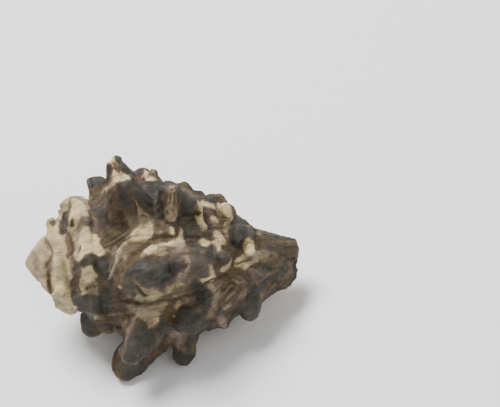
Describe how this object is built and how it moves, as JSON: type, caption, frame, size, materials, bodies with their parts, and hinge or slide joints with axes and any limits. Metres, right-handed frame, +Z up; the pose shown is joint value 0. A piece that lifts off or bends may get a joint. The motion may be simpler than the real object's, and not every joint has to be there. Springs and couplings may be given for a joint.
{
  "type": "murex shell",
  "caption": "Heavy spiral sea shell with a conical spire, rows of blunt gutter-fronted spines on the shoulder and base, and a long narrow mouth that faces down.",
  "frame": {"origin": "on the ground, under the centre of the shell's bounding box, in the pose it lies in by itself", "axes": "+X from the apex of the spire towards the siphonal canal, level; +Y to the side the mouth opens towards; +Z up"},
  "size_m": [0.0678, 0.0524, 0.0484],
  "materials": {
    "shell": "natural calcareous shell, cream with slate-grey spines and brown dirt, slightly glossy where worn"
  },
  "bodies": {
    "root": {"shell": "shell"}
  },
  "joints": []
}
